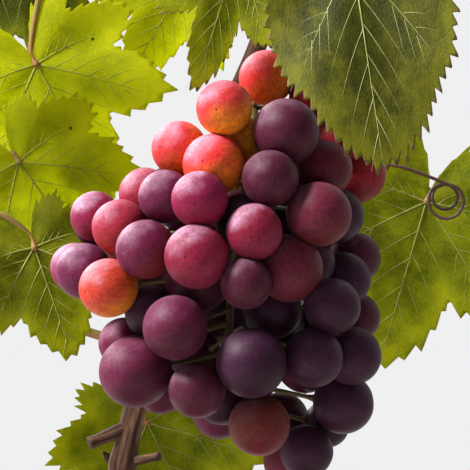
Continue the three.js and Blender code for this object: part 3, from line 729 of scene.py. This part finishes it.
def grape_skin():
    """Grape skin: translucent flesh under satin skin, with fine pale dots and rubbed wax bloom, its colour
    painted lighter with a lilac highlight on the sun side and darker on the far side.
    """
    material, tree, out = new_material("waxy grape skin")
    lit_and_shaded_tint = add(tree, "Attribute", attribute_name="skin_lit_and_shaded")
    wax_and_highlight = add(tree, "Attribute", attribute_name="wax_and_highlight").outputs["Fac"]
    on_grape = add(tree, "Attribute", attribute_name="on_grape").outputs["Vector"]
    place = add(tree, "TexCoord").outputs["Object"]
    grain = add(tree, "TexNoise", {"Vector": place, "Scale": 1 / SKIN_GRAIN, "Detail": 3.0,
                                   "Roughness": 0.7})
    grain_tone = add(tree, "MapRange", {"Value": grain.outputs["Fac"], "From Min": 0.35, "From Max": 0.65,
                                        "To Min": 0.84, "To Max": 1.16})
    streak_place = add(tree, "Mapping", {"Vector": on_grape, "Scale": (9.0, 9.0, 2.2)})
    streaks = add(tree, "TexNoise", {"Vector": streak_place.outputs[0], "Scale": 1.0, "Detail": 4.0,
                                     "Distortion": 0.6})
    streak_tone = add(tree, "MapRange", {"Value": streaks.outputs["Fac"], "From Min": 0.35,
                                         "From Max": 0.65, "To Min": 0.82, "To Max": 1.18})
    mottle = add(tree, "Math", {0: grain_tone.outputs[0], 1: streak_tone.outputs[0]},
                 operation="MULTIPLY")
    flesh_lit_and_shaded = add(tree, "Mix", {0: 1.0, 6: lit_and_shaded_tint.outputs["Color"], 7: mottle.outputs[0]},
                data_type="RGBA", blend_type="MULTIPLY")
    rubbed = add(tree, "TexNoise", {"Vector": place, "Scale": 1 / WAX_RUB, "Detail": 6.0,
                                    "Roughness": 0.65})
    rub_mask = add(tree, "MapRange", {"Value": rubbed.outputs["Fac"], "From Min": 0.36, "From Max": 0.6,
                                      "To Min": 0.45, "To Max": 1.0})
    dust = add(tree, "MapRange", {"Value": grain.outputs["Fac"], "From Min": 0.4, "From Max": 0.62,
                                  "To Min": 0.7, "To Max": 1.15})
    wax_and_highlight_share = add(tree, "Math", {0: wax_and_highlight, 1: rub_mask.outputs[0]}, operation="MULTIPLY")
    wax_and_highlight_dust = add(tree, "Math", {0: wax_and_highlight_share.outputs[0], 1: dust.outputs[0]}, operation="MULTIPLY",
                   use_clamp=True)
    # Lilac wax colour: real bloom everywhere, and on the sun side a painted highlight.
    bloom_and_highlight_colour = add(tree, "Mix", {0: wax_and_highlight_dust.outputs[0], 6: flesh_lit_and_shaded.outputs[2], 7: linear("#C9A4C4")},
                  data_type="RGBA")
    pole = add(tree, "VectorMath", {0: on_grape, 1: (0.0, 0.0, 1.0)}, operation="DISTANCE")
    scar = add(tree, "MapRange", {"Value": pole.outputs["Value"], "From Min": 0.6 * SKIN_SCAR,
                                  "From Max": SKIN_SCAR, "To Min": 0.75, "To Max": 0.0})
    colour = add(tree, "Mix", {0: scar.outputs[0], 6: bloom_and_highlight_colour.outputs[2], 7: linear("#2A1612")},
                 data_type="RGBA")
    rough = add(tree, "MapRange", {"Value": wax_and_highlight_dust.outputs[0], "To Min": 0.5, "To Max": 0.66})
    bump = add(tree, "Bump", {"Height": grain.outputs["Fac"], "Strength": 0.12, "Distance": 0.0002})
    shader = add(tree, "BsdfPrincipled", {
        "Base Color": colour.outputs[2], "Roughness": rough.outputs[0], "Normal": bump.outputs[0],
        "IOR": 1.42, "Specular IOR Level": 0.2, "Subsurface Weight": 0.2,
        "Subsurface Radius": (1.0, 0.28, 0.16), "Subsurface Scale": 0.004, "Sheen Weight": 0.05,
        "Sheen Roughness": 0.4, "Sheen Tint": linear("#D8B4D8")})
    tree.links.new(shader.outputs[0], out.inputs["Surface"])
    return material


def smooth_share(value, low, high):
    """0 below low, 1 above high, and an easy curve between."""
    t = min(max((value - low) / (high - low), 0.0), 1.0)
    return t * t * (3 - 2 * t)


def add_grape(bm, grape, layers, scatter):
    """A full round grape, a little long on its hanging line, pressed flat where others touch it."""
    sunny, shaded, bloom_and_highlight = SKINS_LIT_AND_SHADED[grape.skin]
    sunny, shaded = Vector(linear(sunny)), Vector(linear(shaded))
    astray = Vector([scatter.uniform(-1, 1) for _ in range(3)])
    scar_way = (-grape.hangs_from + 0.35 * astray).normalized()
    turned = scar_way.to_track_quat("Z", "Y")
    back = turned.inverted()
    astray = Vector([scatter.uniform(-1, 1) for _ in range(3)])
    shade_way = (-SUN_SIDE + 0.4 * astray).normalized()
    pressing = []
    for other in grapes:
        apart = (other.place - grape.place).length
        if other is not grape and apart < (grape.radius + other.radius) * 1.1:
            middle = (apart + grape.radius - other.radius) / 2 - TOUCH_GAP / 2
            pressing.append(((other.place - grape.place) / apart, middle / 1000))
    length_share = scatter.uniform(1.0, LONGEST)
    made = bmesh.ops.create_icosphere(bm, subdivisions=5, radius=grape.size)["verts"]
    for vert in made:
        way = vert.co.normalized()
        vert[layers["on_grape"]] = back @ way
        along = way.dot(scar_way)
        vert.co = vert.co + scar_way * vert.co.dot(scar_way) * (length_share - 1.0)
        vert.co *= (1.0 - SCAR_DENT * smooth_share(along, 0.93, 1.0)
                    - STALK_DENT * smooth_share(-along, 0.9, 1.0))
        for towards, reach in pressing:
            out = vert.co.dot(towards)
            if out > reach:
                vert.co *= reach / out
        lit = way.dot(SUN_SIDE)
        # Painted shade: away from the sun each grape turns from its sunny colour to its shaded colour,
        # which on unripe grapes is a painted amber glow of light shining through.
        cloud = noise.noise(way * 1.7 + grape.centre * 90)
        turn = smooth_share(way.dot(shade_way) + 0.35 * cloud, -0.4, 0.6)
        vert[layers["skin_lit_and_shaded"]] = sunny.lerp(shaded, turn)
        # Painted highlight: the wax share grows, patchy, towards the sun, so bloom there also paints a
        # lilac highlight.
        patch = noise.noise(way * 2.3 + grape.centre * 70)
        vert[layers["wax_and_highlight"]] = bloom_and_highlight * (WAX_EVERYWHERE + SUNNY_HIGHLIGHT_WAX * smooth_share(
            lit + 0.3 * patch, 0.45, 1.1))
    bmesh.ops.translate(bm, verts=made, vec=grape.centre)


GRAPE_SKIN = grape_skin()
scatter = random.Random(7)
for number, sprig in enumerate(sprigs, 1):
    bm = bmesh.new()
    layers = {"skin_lit_and_shaded": bm.verts.layers.float_color.new("skin_lit_and_shaded"),
              "wax_and_highlight": bm.verts.layers.float.new("wax_and_highlight"),
              "on_grape": bm.verts.layers.float_vector.new("on_grape")}
    for grape in sprig:
        add_grape(bm, grape, layers, scatter)
    place_piece(bm, f"grapes_{number:02d}", [GRAPE_SKIN], "berry_skin", f"berries_{number:02d}")

# ---- Leaves ----
# Thin lobed blades with saw-toothed rims, raised pale veins on both sides and a quilted net
# between them. Each has its own reddish stalk that stands on the cane or a shoot, and the two
# nearest the front have dry tips on their teeth.
BLADE_THICKNESS = 0.0004
PETIOLE_RADIUS = 0.00125
LOBES = [(0, 1.0), (50, 0.86), (95, 0.7), (140, 0.52)]  # degrees off the tip, reach
LOBE_SPREAD = 26
NOTCH_SPREAD = 26
NOTCH_REACH = 0.22
SHORTEST_REACH = 0.2
TOOTH_DEPTH = 0.075
TOOTH_POINT = 0.62
RIPPLE = 0.05
UNEVENNESS = 0.012
RIBS = ((0, 0.97), (50, 0.8), (-50, 0.8), (98, 0.6), (-98, 0.6))  # degrees off the tip, length
# Stem, share of it, the stalk's way, the blade's base, tip and face, then how deep its lobes are
# cut, how far it is cupped and folded, and its green, which carries painted light: from the painted
# shade of the front leaf to the painted sun glow of the sunlit ones.
LEAVES = {
    "leaf_front_right": ("shoot_right", 0.13, [(82, -48, 468), (79, -82, 450)],
                         (78, -89, 429), (88, -118, 350), (0, -1, -0.2), 0.1, 0.06, 0.06, "shady"),
    "leaf_front_top": ("trunk", 0.69, [(42, -36, 462), (37, -66, 452)],
                       (35, -76, 434), (19, -92, 380), (0, -1, -0.3), 0.45, 0.05, 0.1, "green"),
    "leaf_back_left": ("shoot_left_high", 0.36, [(-44, 42, 450)],
                       (-48, 40, 404), (-17, 32, 345), (0.1, -1, 0.1), 0.42, -0.05, 0.08, "sunlit"),
    "leaf_top_left": ("shoot_left_high", 0.17, [(12, 48, 466)],
                      (14, 52, 442), (-10, 50, 400), (0.1, -1, 0.1), 0.4, 0.04, 0.08, "sunlit"),
    "leaf_corner_left": ("shoot_left_high", 0.5, [(-66, 52, 478)],
                         (-58, 72, 456), (-30, 74, 402), (0.1, -1, 0.1), 0.36, 0.04, 0.08, "olive"),
    "leaf_side_left": ("shoot_left_low", 0.42, [(-64, 26, 350)],
                       (-54, 21, 362), (-20, 20, 316), (0.1, -1, 0.1), 0.32, 0.05, 0.08, "sunlit"),
    "leaf_low_left": ("shoot_left_low", 0.47, [(-82, 6, 332), (-62, -3, 340)],
                      (-46, -3, 326), (-30, -8, 282), (0.1, -1, 0.1), 0.32, 0.05, 0.08, "green"),
    "leaf_back_right": ("trunk", 0.535, [(56, 26, 344), (94, 28, 356)],
                        (112, 26, 346), (92, 22, 278), (0, -1, 0.1), 0.36, 0.05, 0.08, "green"),
    "leaf_low_front": ("trunk", 0.445, [(-4, 26, 268)],
                       (-2, 34, 256), (26, 32, 200), (0, -1, 0.2), 0.34, 0.05, 0.08, "green"),
    "leaf_right_middle": ("shoot_right", 0.47, [(150, -40, 508)],
                          (154, -62, 486), (176, -84, 412), (0.2, -1, 0.3), 0.36, 0.1, 0.12, "olive"),
    "leaf_right_far": ("shoot_right", 0.74, [(206, 24, 544)],
                       (214, 36, 526), (236, 56, 462), (0.6, -0.3, 0.8), 0.38, 0.12, 0.1, "green"),
    "leaf_right_end": ("shoot_right", 0.96, [(226, -16, 636)],
                       (222, -30, 634), (204, -74, 604), (0, -0.7, 1), 0.4, 0.12, 0.14, "sunlit"),
    "leaf_top_front": ("trunk", 0.81, [(70, -34, 540)],
                       (68, -48, 528), (58, -84, 468), (0, -1, 0.5), 0.34, 0.1, 0.12, "green"),
    "leaf_top_back": ("trunk", 0.77, [(60, 44, 520)],
                      (58, 62, 508), (44, 96, 440), (0, 1, 0.4), 0.36, 0.1, 0.1, "olive"),
    "leaf_top_young": ("trunk", 0.985, [(86, -6, 676)],
                       (80, -10, 678), (58, -30, 664), (-0.3, -0.5, 1), 0.42, 0.1, 0.2, "sunlit"),
    "leaf_left_middle": ("shoot_left_high", 0.66, [(-112, -10, 508)],
                         (-114, -30, 494), (-124, -58, 426), (-0.2, -1, 0.3), 0.36, 0.1, 0.12, "green"),
    "leaf_left_end": ("shoot_left_high", 0.95, [(-186, 34, 590)],
                      (-190, 44, 580), (-206, 78, 534), (-0.5, 0.5, 0.8), 0.4, 0.12, 0.12, "sunlit"),
    "leaf_left_low": ("shoot_left_low", 0.62, [(-116, 0, 352)],
                      (-118, -14, 340), (-128, -36, 278), (-0.1, -1, 0.3), 0.34, 0.08, 0.1, "green"),
    "leaf_left_outer": ("shoot_left_low", 0.93, [(-170, 4, 446)],
                        (-176, -4, 438), (-196, -22, 386), (-0.4, -1, 0.3), 0.38, 0.1, 0.1, "olive"),
}
LEAF_GREENS = {  # one leaf green painted from shade to sun: deep, middle, rim and thin parts, veins, share of light let through
    "shady": ("#2A300A", "#444810", "#76781A", "#A8AA6C", 0.24),
    "olive": ("#363E0A", "#525812", "#80861A", "#8A9248", 0.34),
    "green": ("#5E680C", "#7E8812", "#A6AC18", "#A0A64C", 0.50),
    "sunlit": ("#A0AC06", "#B6C008", "#CCD214", "#A6B030", 0.56),
}
NET_CELL = 0.0016
GREEN_PATCH = 0.0133
GREEN_SPECK = 0.00111
SPOT_APART = 0.0143
VEIN_PATCH = 0.00625
TIP_PATCH = 0.00333
CLOSE_LEAVES = {"leaf_front_right": 0.56, "leaf_front_top": 0.62}  # their width, as a share


def blade_reach(degrees, sinus):
    """How far the blade reaches that way from its stalk, as a share of its length."""
    away = abs(degrees)
    arches = [reach * (1 - sinus * (abs(away - axis) / LOBE_SPREAD) ** 1.25) for axis, reach in LOBES]
    return max(SHORTEST_REACH, *arches) * min(1.0, (180 - away) / NOTCH_SPREAD + NOTCH_REACH)


class Blade:
    """The curved plane of a leaf, with u across it and v along it, as shares of its length."""

    def __init__(self, base, tip, face, sinus, cup, fold, spread):
        self.root = up_from_soil(base)
        self.along = up_from_soil(tip) - self.root
        self.length = self.along.length
        self.along.normalize()
        self.side = self.along.cross(Vector(face)).normalized()
        self.normal = self.side.cross(self.along)
        self.sinus, self.cup, self.fold, self.spread = sinus, cup, fold, spread

    def at(self, u, v):
        u *= self.spread
        reach = math.hypot(u, v)
        turn = math.atan2(u, v)
        lift = self.fold * math.sqrt(u * u + 0.0016) - self.cup * (u * u + v * v)
        lift += RIPPLE * reach * math.sin(5 * turn)
        lift += UNEVENNESS * reach * noise.noise(Vector((u * 6, v * 6, self.length * 40)))
        return (self.root + self.side * u * self.length + self.along * v * self.length
                + self.normal * lift * self.length)


def leaf_green(name, deep, middle, rim, through):
    """Leaf tissue: satin green, a fine net of cells, a rim and tip that are paler partly of themselves and
    partly as a painted glow of light through them, and a glow when lit from behind.
    """
    material, tree, out = new_material(name + " vine leaf")
    flat = add(tree, "Attribute", attribute_name="on_blade").outputs["Vector"]
    pale_rim_and_glow = add(tree, "Attribute", attribute_name="pale_rim_and_glow").outputs["Fac"]
    net = add(tree, "TexVoronoi", {"Vector": flat, "Scale": 1 / NET_CELL}, feature="DISTANCE_TO_EDGE")
    net_line = add(tree, "MapRange", {"Value": net.outputs["Distance"], "From Max": 0.16})
    patch = add(tree, "TexNoise", {"Vector": flat, "Scale": 1 / GREEN_PATCH, "Detail": 5.0,
                                    "Roughness": 0.6})
    speck = add(tree, "TexNoise", {"Vector": flat, "Scale": 1 / GREEN_SPECK, "Detail": 3.0,
                                    "Roughness": 0.7})
    tone = add(tree, "Math", {0: pale_rim_and_glow, 1: patch.outputs["Fac"]}, operation="ADD")
    rough_tone = add(tree, "Math", {0: speck.outputs["Fac"], 1: 0.34, 2: tone.outputs[0]},
                     operation="MULTIPLY_ADD")
    body = add(tree, "ValToRGB", {"Fac": rough_tone.outputs[0]},
               [(0.52, deep), (0.7, middle), (0.98, rim)])
    netted = add(tree, "Mix", {0: net_line.outputs[0], 6: linear(rim), 7: body.outputs[0]},
                 data_type="RGBA")
    net_soft = add(tree, "Mix", {0: 0.8, 6: netted.outputs[2], 7: body.outputs[0]}, data_type="RGBA")
    spot_cells = add(tree, "TexVoronoi", {"Vector": flat, "Scale": 1 / SPOT_APART}, feature="F1")
    spot = add(tree, "MapRange", {"Value": spot_cells.outputs["Distance"], "From Min": 0.04,
                                  "From Max": 0.07, "To Min": 0.85, "To Max": 0.0})
    colour = add(tree, "Mix", {0: spot.outputs[0], 6: net_soft.outputs[2], 7: linear("#2A2412")},
                 data_type="RGBA")
    quilt = add(tree, "Math", {0: net_line.outputs[0], 1: speck.outputs["Fac"]}, operation="ADD")
    bump = add(tree, "Bump", {"Height": quilt.outputs[0], "Strength": 0.3, "Distance": 0.0003})
    rough = add(tree, "MapRange", {"Value": patch.outputs["Fac"], "To Min": 0.4, "To Max": 0.62})
    skin = add(tree, "BsdfPrincipled", {"Base Color": colour.outputs[2], "Roughness": rough.outputs[0],
                                        "Normal": bump.outputs[0], "Specular IOR Level": 0.15})
    glow_colour = add(tree, "Mix", {0: 1.0, 6: colour.outputs[2], 7: (1.4, 1.34, 0.45, 1.0)},
                      data_type="RGBA", blend_type="MULTIPLY")
    glow = add(tree, "BsdfTranslucent", {"Color": glow_colour.outputs[2]})
    both = add(tree, "MixShader", {0: through, 1: skin.outputs[0], 2: glow.outputs[0]})
    tree.links.new(both.outputs[0], out.inputs["Surface"])
    return material


def vein_skin(name, pale):
    """Leaf veins: pale yellow-green ribs, smooth and slightly waxy."""
    material, tree, out = new_material(name + " leaf vein")
    place = add(tree, "TexCoord").outputs["Object"]
    patch = add(tree, "TexNoise", {"Vector": place, "Scale": 1 / VEIN_PATCH, "Detail": 3.0})
    colour = add(tree, "ValToRGB", {"Fac": patch.outputs["Fac"]}, [(0.3, "#7E8434"), (0.6, pale)])
    shader = add(tree, "BsdfPrincipled", {"Base Color": colour.outputs[0], "Roughness": 0.5})
    tree.links.new(shader.outputs[0], out.inputs["Surface"])
    return material


def tooth_tip():
    """The dried brown gland at the point of each tooth."""
    material, tree, out = new_material("dry tooth tip")
    place = add(tree, "TexCoord").outputs["Object"]
    patch = add(tree, "TexNoise", {"Vector": place, "Scale": 1 / TIP_PATCH})
    colour = add(tree, "ValToRGB", {"Fac": patch.outputs["Fac"]}, [(0.35, "#463414"), (0.65, "#7A6222")])
    shader = add(tree, "BsdfPrincipled", {"Base Color": colour.outputs[0], "Roughness": 0.7})
    tree.links.new(shader.outputs[0], out.inputs["Surface"])
    return material


def tooth(phase, which):
    """One tooth of the saw rim: a slow rise to a point and a quick fall, every third one larger."""
    big = 1.0 if which % 3 == 0 else 0.62
    rise = phase / TOOTH_POINT if phase < TOOTH_POINT else (1 - phase) / (1 - TOOTH_POINT)
    return big * rise ** 1.15


def add_blade(bm, blade, layers, teeth, steps, rings, dry_tips):
    """A round net of faces, drawn out to the lobes and cut to teeth at its rim."""
    around = teeth * steps
    made = bmesh.ops.create_grid(bm, x_segments=around, y_segments=rings, size=0.5)["verts"]
    points = set()
    for vert in made:
        share = vert.co.x + 0.5
        outward = vert.co.y + 0.5
        turn = (share * 2 - 1) * math.pi
        step = round(share * around) % around
        phase, which = (step % steps) / steps, step // steps
        reach = blade_reach(math.degrees(turn), blade.sinus)
        cut = TOOTH_DEPTH * (tooth(phase, which) - 0.55) * min(1.0, reach / 0.5)
        radius = outward * reach + cut * outward ** 7
        u, v = radius * math.sin(turn), radius * math.cos(turn)
        vert[layers["on_blade"]] = Vector((u, v, 0.0)) * blade.length
        # Paler towards the rim and the tip: partly the leaf's own paler edge, partly a painted glow of
        # light through the thin edge.
        vert[layers["pale_rim_and_glow"]] = (0.24 * smooth_share(outward, 0.5, 1.0)
                                   + 0.2 * smooth_share(v, 0.8, 1.0))
        vert.co = blade.at(u, v)
        if dry_tips and outward > 1 - 0.5 / rings and abs(phase - TOOTH_POINT) < 0.5 / steps:
            points.add(vert)
    for vert in points:
        for face in vert.link_faces:
            face.material_index = 3
    bmesh.ops.remove_doubles(bm, verts=made, dist=1e-7)


def add_vein(ribs, blade, turn, bend, start, length, thick, points=9):
    """One rib that starts at a spot on the blade, bends towards its tip and thins to nothing."""
    rib = ribs.splines.new("POLY")
    rib.points.add(points)
    u, v = start
    for i, point in enumerate(rib.points):
        share = i / points
        angle = turn * (1 - bend * share)
        point.co = (*blade.at(u, v), 1.0)
        point.radius = thick * (1 - 0.86 * share)
        u += math.sin(angle) * length / points
        v += math.cos(angle) * length / points


def add_veins(bm, blade, close):
    """Five main ribs from the stalk, with side ribs that fork off them in turn."""
    ribs = bpy.data.curves.new("ribs", "CURVE")
    ribs.dimensions = "3D"
    ribs.bevel_depth = 1.0
    ribs.bevel_resolution = 1 if close else 0
    ribs.use_fill_caps = True
    thick = 0.00038 if close else 0.00046
    for degrees, share in RIBS:
        turn = math.radians(degrees)
        reach = share * blade_reach(degrees, blade.sinus)
        bend = 0.16 if degrees else 0.0
        add_vein(ribs, blade, turn, bend, (0.0, 0.0), reach, thick, 26)
        for i in range(5 if abs(degrees) < 90 else 3):
            part = 0.17 + 0.16 * i
            spot_turn = turn * (1 - bend * part / 2)
            start = (math.sin(spot_turn) * reach * part, math.cos(spot_turn) * reach * part)
            for hand in (-1, 1):
                if degrees and hand * degrees < 0 and i < 2:
                    continue
                side_turn = turn + hand * math.radians(46 - 3 * i)
                side_reach = reach * (0.42 - 0.06 * i) * (1.15 if abs(degrees) < 90 else 0.8)
                side_start = (start[0], start[1] * (1 + 0.05 * hand))
                add_vein(ribs, blade, side_turn, 0.18 if degrees else 0.3, side_start, side_reach,
                         0.5 * thick, 14 if close else 7)
    holder = bpy.data.objects.new("ribs", ribs)
    bpy.context.scene.collection.objects.link(holder)
    shaped = holder.evaluated_get(bpy.context.evaluated_depsgraph_get())
    solid_ribs = bpy.data.meshes.new_from_object(shaped)
    for polygon in solid_ribs.polygons:
        polygon.material_index = 1
    bm.from_mesh(solid_ribs)
    bpy.data.objects.remove(holder)
    bpy.data.meshes.remove(solid_ribs)


LEAF_SKINS = {name: (leaf_green(name, deep, middle, rim, through), vein_skin(name, vein))
              for name, (deep, middle, rim, vein, through) in LEAF_GREENS.items()}
TOOTH_TIP = tooth_tip()
PETIOLE = young_wood("reddish leaf stalk", "#8A8A3C", "#9A6A3A", "#8A3E34")
for name, (on, at, route, base, tip, face, sinus, cup, fold, green) in LEAVES.items():
    blade = Blade(base, tip, face, sinus, cup, fold, CLOSE_LEAVES.get(name, 1.0))
    close = name in CLOSE_LEAVES
    bm = bmesh.new()
    layers = {"on_blade": bm.verts.layers.float_vector.new("on_blade"),
              "pale_rim_and_glow": bm.verts.layers.float.new("pale_rim_and_glow")}
    teeth, steps, rings = (78, 6, 34) if close else (60, 5, 16)
    add_blade(bm, blade, layers, teeth, steps, rings, dry_tips=close)
    bm.normal_update()
    if sum(f.normal.dot(blade.normal) for f in bm.faces) < 0:
        bmesh.ops.reverse_faces(bm, faces=bm.faces[:])
    bmesh.ops.solidify(bm, geom=bm.faces[:], thickness=BLADE_THICKNESS)
    add_veins(bm, blade, close)
    entry = blade.root - blade.along * 0.005 - blade.normal * 0.001
    way = [up_from_soil(p) for p in route] + [entry, blade.root + blade.along * 0.001]
    petiole = stem_from(stems[on], at, way, PETIOLE_RADIUS * 1.15, PETIOLE_RADIUS)
    sweep(bm, petiole, 12, 70, lambda s, turn: 0.98 + 0.45 * math.exp(-(s / 0.03) ** 2)
          + 0.25 * math.exp(-((1 - s) / 0.03) ** 2)
          + 0.04 * noise.noise(Vector((turn.x, turn.y, s * 30))), material_index=2)
    place_piece(bm, name.replace("leaf", "vine_leaf"), [*LEAF_SKINS[green], PETIOLE, TOOTH_TIP],
                "leaf", name)

# ---- Floor, light and camera ----
# A plain pale floor and a sky that is brightest behind the plant, with two soft lamps on the
# left: one high in front, and one behind that shines through the leaves.
FLOOR_SIZE = 38.0
CAMERA_AIM = Vector((0.034, -0.062, 0.560))
CAMERA_DISTANCE = 1.2
CAMERA_PITCH = math.radians(3.0)
VIEW_WIDTH = 0.1786
SENSOR_WIDTH = 36.0
LAMPS = (  # place, width, power, colour
    ("high left lamp", (-1.6, -0.7, 2.2), 0.5, 125.0, "#FFFAF4"),
    ("back left lamp", (-1.4, 1.7, 2.0), 0.9, 95.0, "#FFF8EC"),
)
SKY_BEFORE = 0.20
SKY_BEHIND = 0.90

bm = bmesh.new()
bmesh.ops.create_grid(bm, x_segments=1, y_segments=1, size=FLOOR_SIZE / 2)
floor_mesh = bpy.data.meshes.new("studio floor")
bm.to_mesh(floor_mesh)
bm.free()
floor = bpy.data.objects.new("studio_floor", floor_mesh)
bpy.context.scene.collection.objects.link(floor)
floor_paint, tree, out = new_material("matt white floor")
shader = add(tree, "BsdfPrincipled", {"Base Color": linear("#C4C4C2"), "Roughness": 0.9})
tree.links.new(shader.outputs[0], out.inputs["Surface"])
floor_mesh.materials.append(floor_paint)

for name, place, width, power, colour in LAMPS:
    lamp = bpy.data.lights.new(name, "AREA")
    lamp.shape, lamp.size, lamp.energy, lamp.color = "SQUARE", width, power, linear(colour)[:3]
    holder = bpy.data.objects.new(name, lamp)
    holder.location = place
    holder.rotation_euler = (CAMERA_AIM - Vector(place)).to_track_quat("-Z", "Y").to_euler()
    bpy.context.scene.collection.objects.link(holder)

world = bpy.data.worlds.new("pale sky")
bpy.context.scene.world = world
world.use_nodes = True
tree = world.node_tree
tree.nodes.clear()
way = add(tree, "TexCoord").outputs["Generated"]
split = add(tree, "SeparateXYZ", {"Vector": way})
behind = add(tree, "MapRange", {"Value": split.outputs["Y"], "From Min": -0.7, "From Max": 0.7,
                                "To Min": SKY_BEFORE, "To Max": SKY_BEHIND},
             interpolation_type="SMOOTHSTEP")
sky = add(tree, "Background", {"Color": linear("#FBFBFC"), "Strength": behind.outputs[0]})
tree.links.new(sky.outputs[0], tree.nodes.new("ShaderNodeOutputWorld").inputs["Surface"])

camera = bpy.data.cameras.new("camera")
camera.sensor_width = SENSOR_WIDTH
camera.lens = SENSOR_WIDTH * CAMERA_DISTANCE / VIEW_WIDTH
holder = bpy.data.objects.new("camera", camera)
look = Vector((0.0, math.cos(CAMERA_PITCH), math.sin(CAMERA_PITCH)))
holder.location = CAMERA_AIM - look * CAMERA_DISTANCE
holder.rotation_euler = look.to_track_quat("-Z", "Y").to_euler()
bpy.context.scene.collection.objects.link(holder)
bpy.context.scene.camera = holder
bpy.context.scene.view_settings.view_transform = "Standard"
